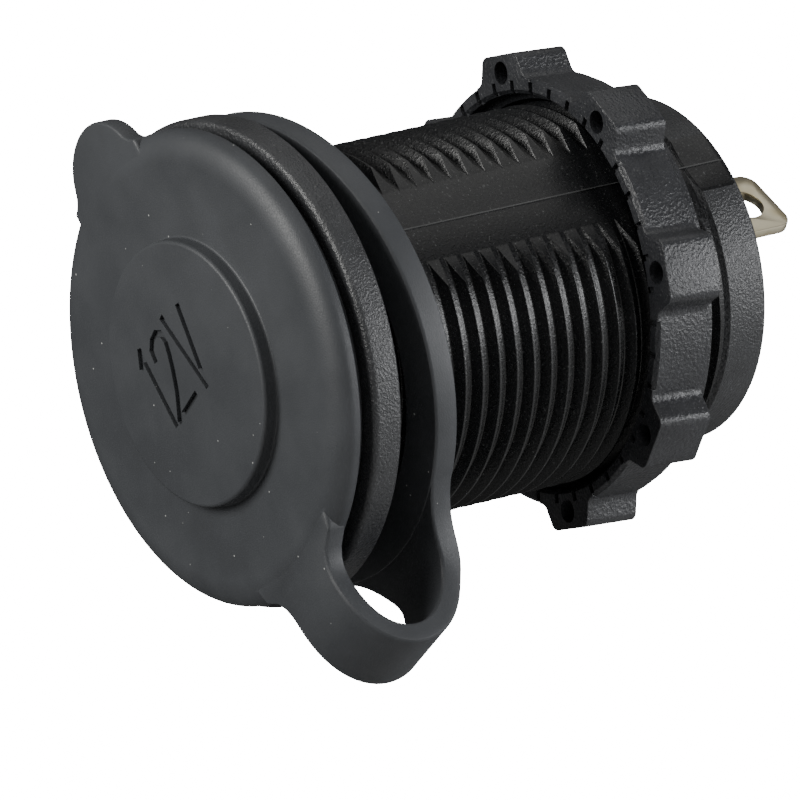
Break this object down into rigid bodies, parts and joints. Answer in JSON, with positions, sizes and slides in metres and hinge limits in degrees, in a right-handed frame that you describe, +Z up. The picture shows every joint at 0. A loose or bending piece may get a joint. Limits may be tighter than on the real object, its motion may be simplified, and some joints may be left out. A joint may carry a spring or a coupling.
{
  "type": "panel power socket",
  "caption": "Panel-mount 12 V power socket: flanged threaded housing, rubber cap on a tether, lobed ring nut, metal socket barrel and rear blade terminals.",
  "frame": {"origin": "on the socket's axis, in the plane of the flange's rear face, which seats on the panel", "axes": "+Y along the socket's axis to the rear, +Z up with the thumb tab, tether's loop at -Z"},
  "size_m": [0.0374, 0.0511, 0.0485],
  "materials": {
    "housing_nylon": "black glass-filled nylon, satin with a fine moulded grain",
    "nut_nylon": "black glass-filled nylon, coarse spark-eroded grain with polished edges",
    "cap_rubber": "dark grey rubber, matte with fine dust",
    "nickel_plate": "nickel-plated sheet steel, satin",
    "terminal_plate": "nickel-plated brass, warm grey with yellowish cut edges",
    "contact_brass": "bare brass, pressed",
    "zinc_steel": "bright zinc-plated steel",
    "insulating_fibre": "red-brown hard paper"
  },
  "bodies": {
    "housing_body": {"housing": "housing_nylon", "contact_barrel": "nickel_plate", "inner_insulator": "insulating_fibre", "rear_insulator": "insulating_fibre", "centre_contact": "contact_brass", "centre_screw": "zinc_steel", "spring_washer": "zinc_steel", "terminal_nut": "zinc_steel", "positive_terminal": "terminal_plate", "negative_terminal": "terminal_plate", "terminal_rivet": "nickel_plate"},
    "nut_body": {"ring_nut": "nut_nylon"},
    "ring_body": {"retaining_ring": "cap_rubber", "tether": "cap_rubber"},
    "cap_body": {"cap": "cap_rubber"}
  },
  "joints": [
    {"name": "nut_travel", "type": "slide", "parent": "housing_body", "child": "nut_body", "axis": [0, 1, 0], "range_m": [-0.0184, 0.006]},
    {"name": "tether_swivel", "type": "hinge", "parent": "housing_body", "child": "ring_body", "pos_m": [0, 0, 0], "axis": [0, 1, 0], "continuous": true},
    {"name": "cap_hinge", "type": "hinge", "parent": "ring_body", "child": "cap_body", "pos_m": [0.00221, 0.0005, -0.0253], "axis": [0.9962, 0, 0.0872], "range_deg": [0, 170], "deforming": ["tether"]}
  ]
}
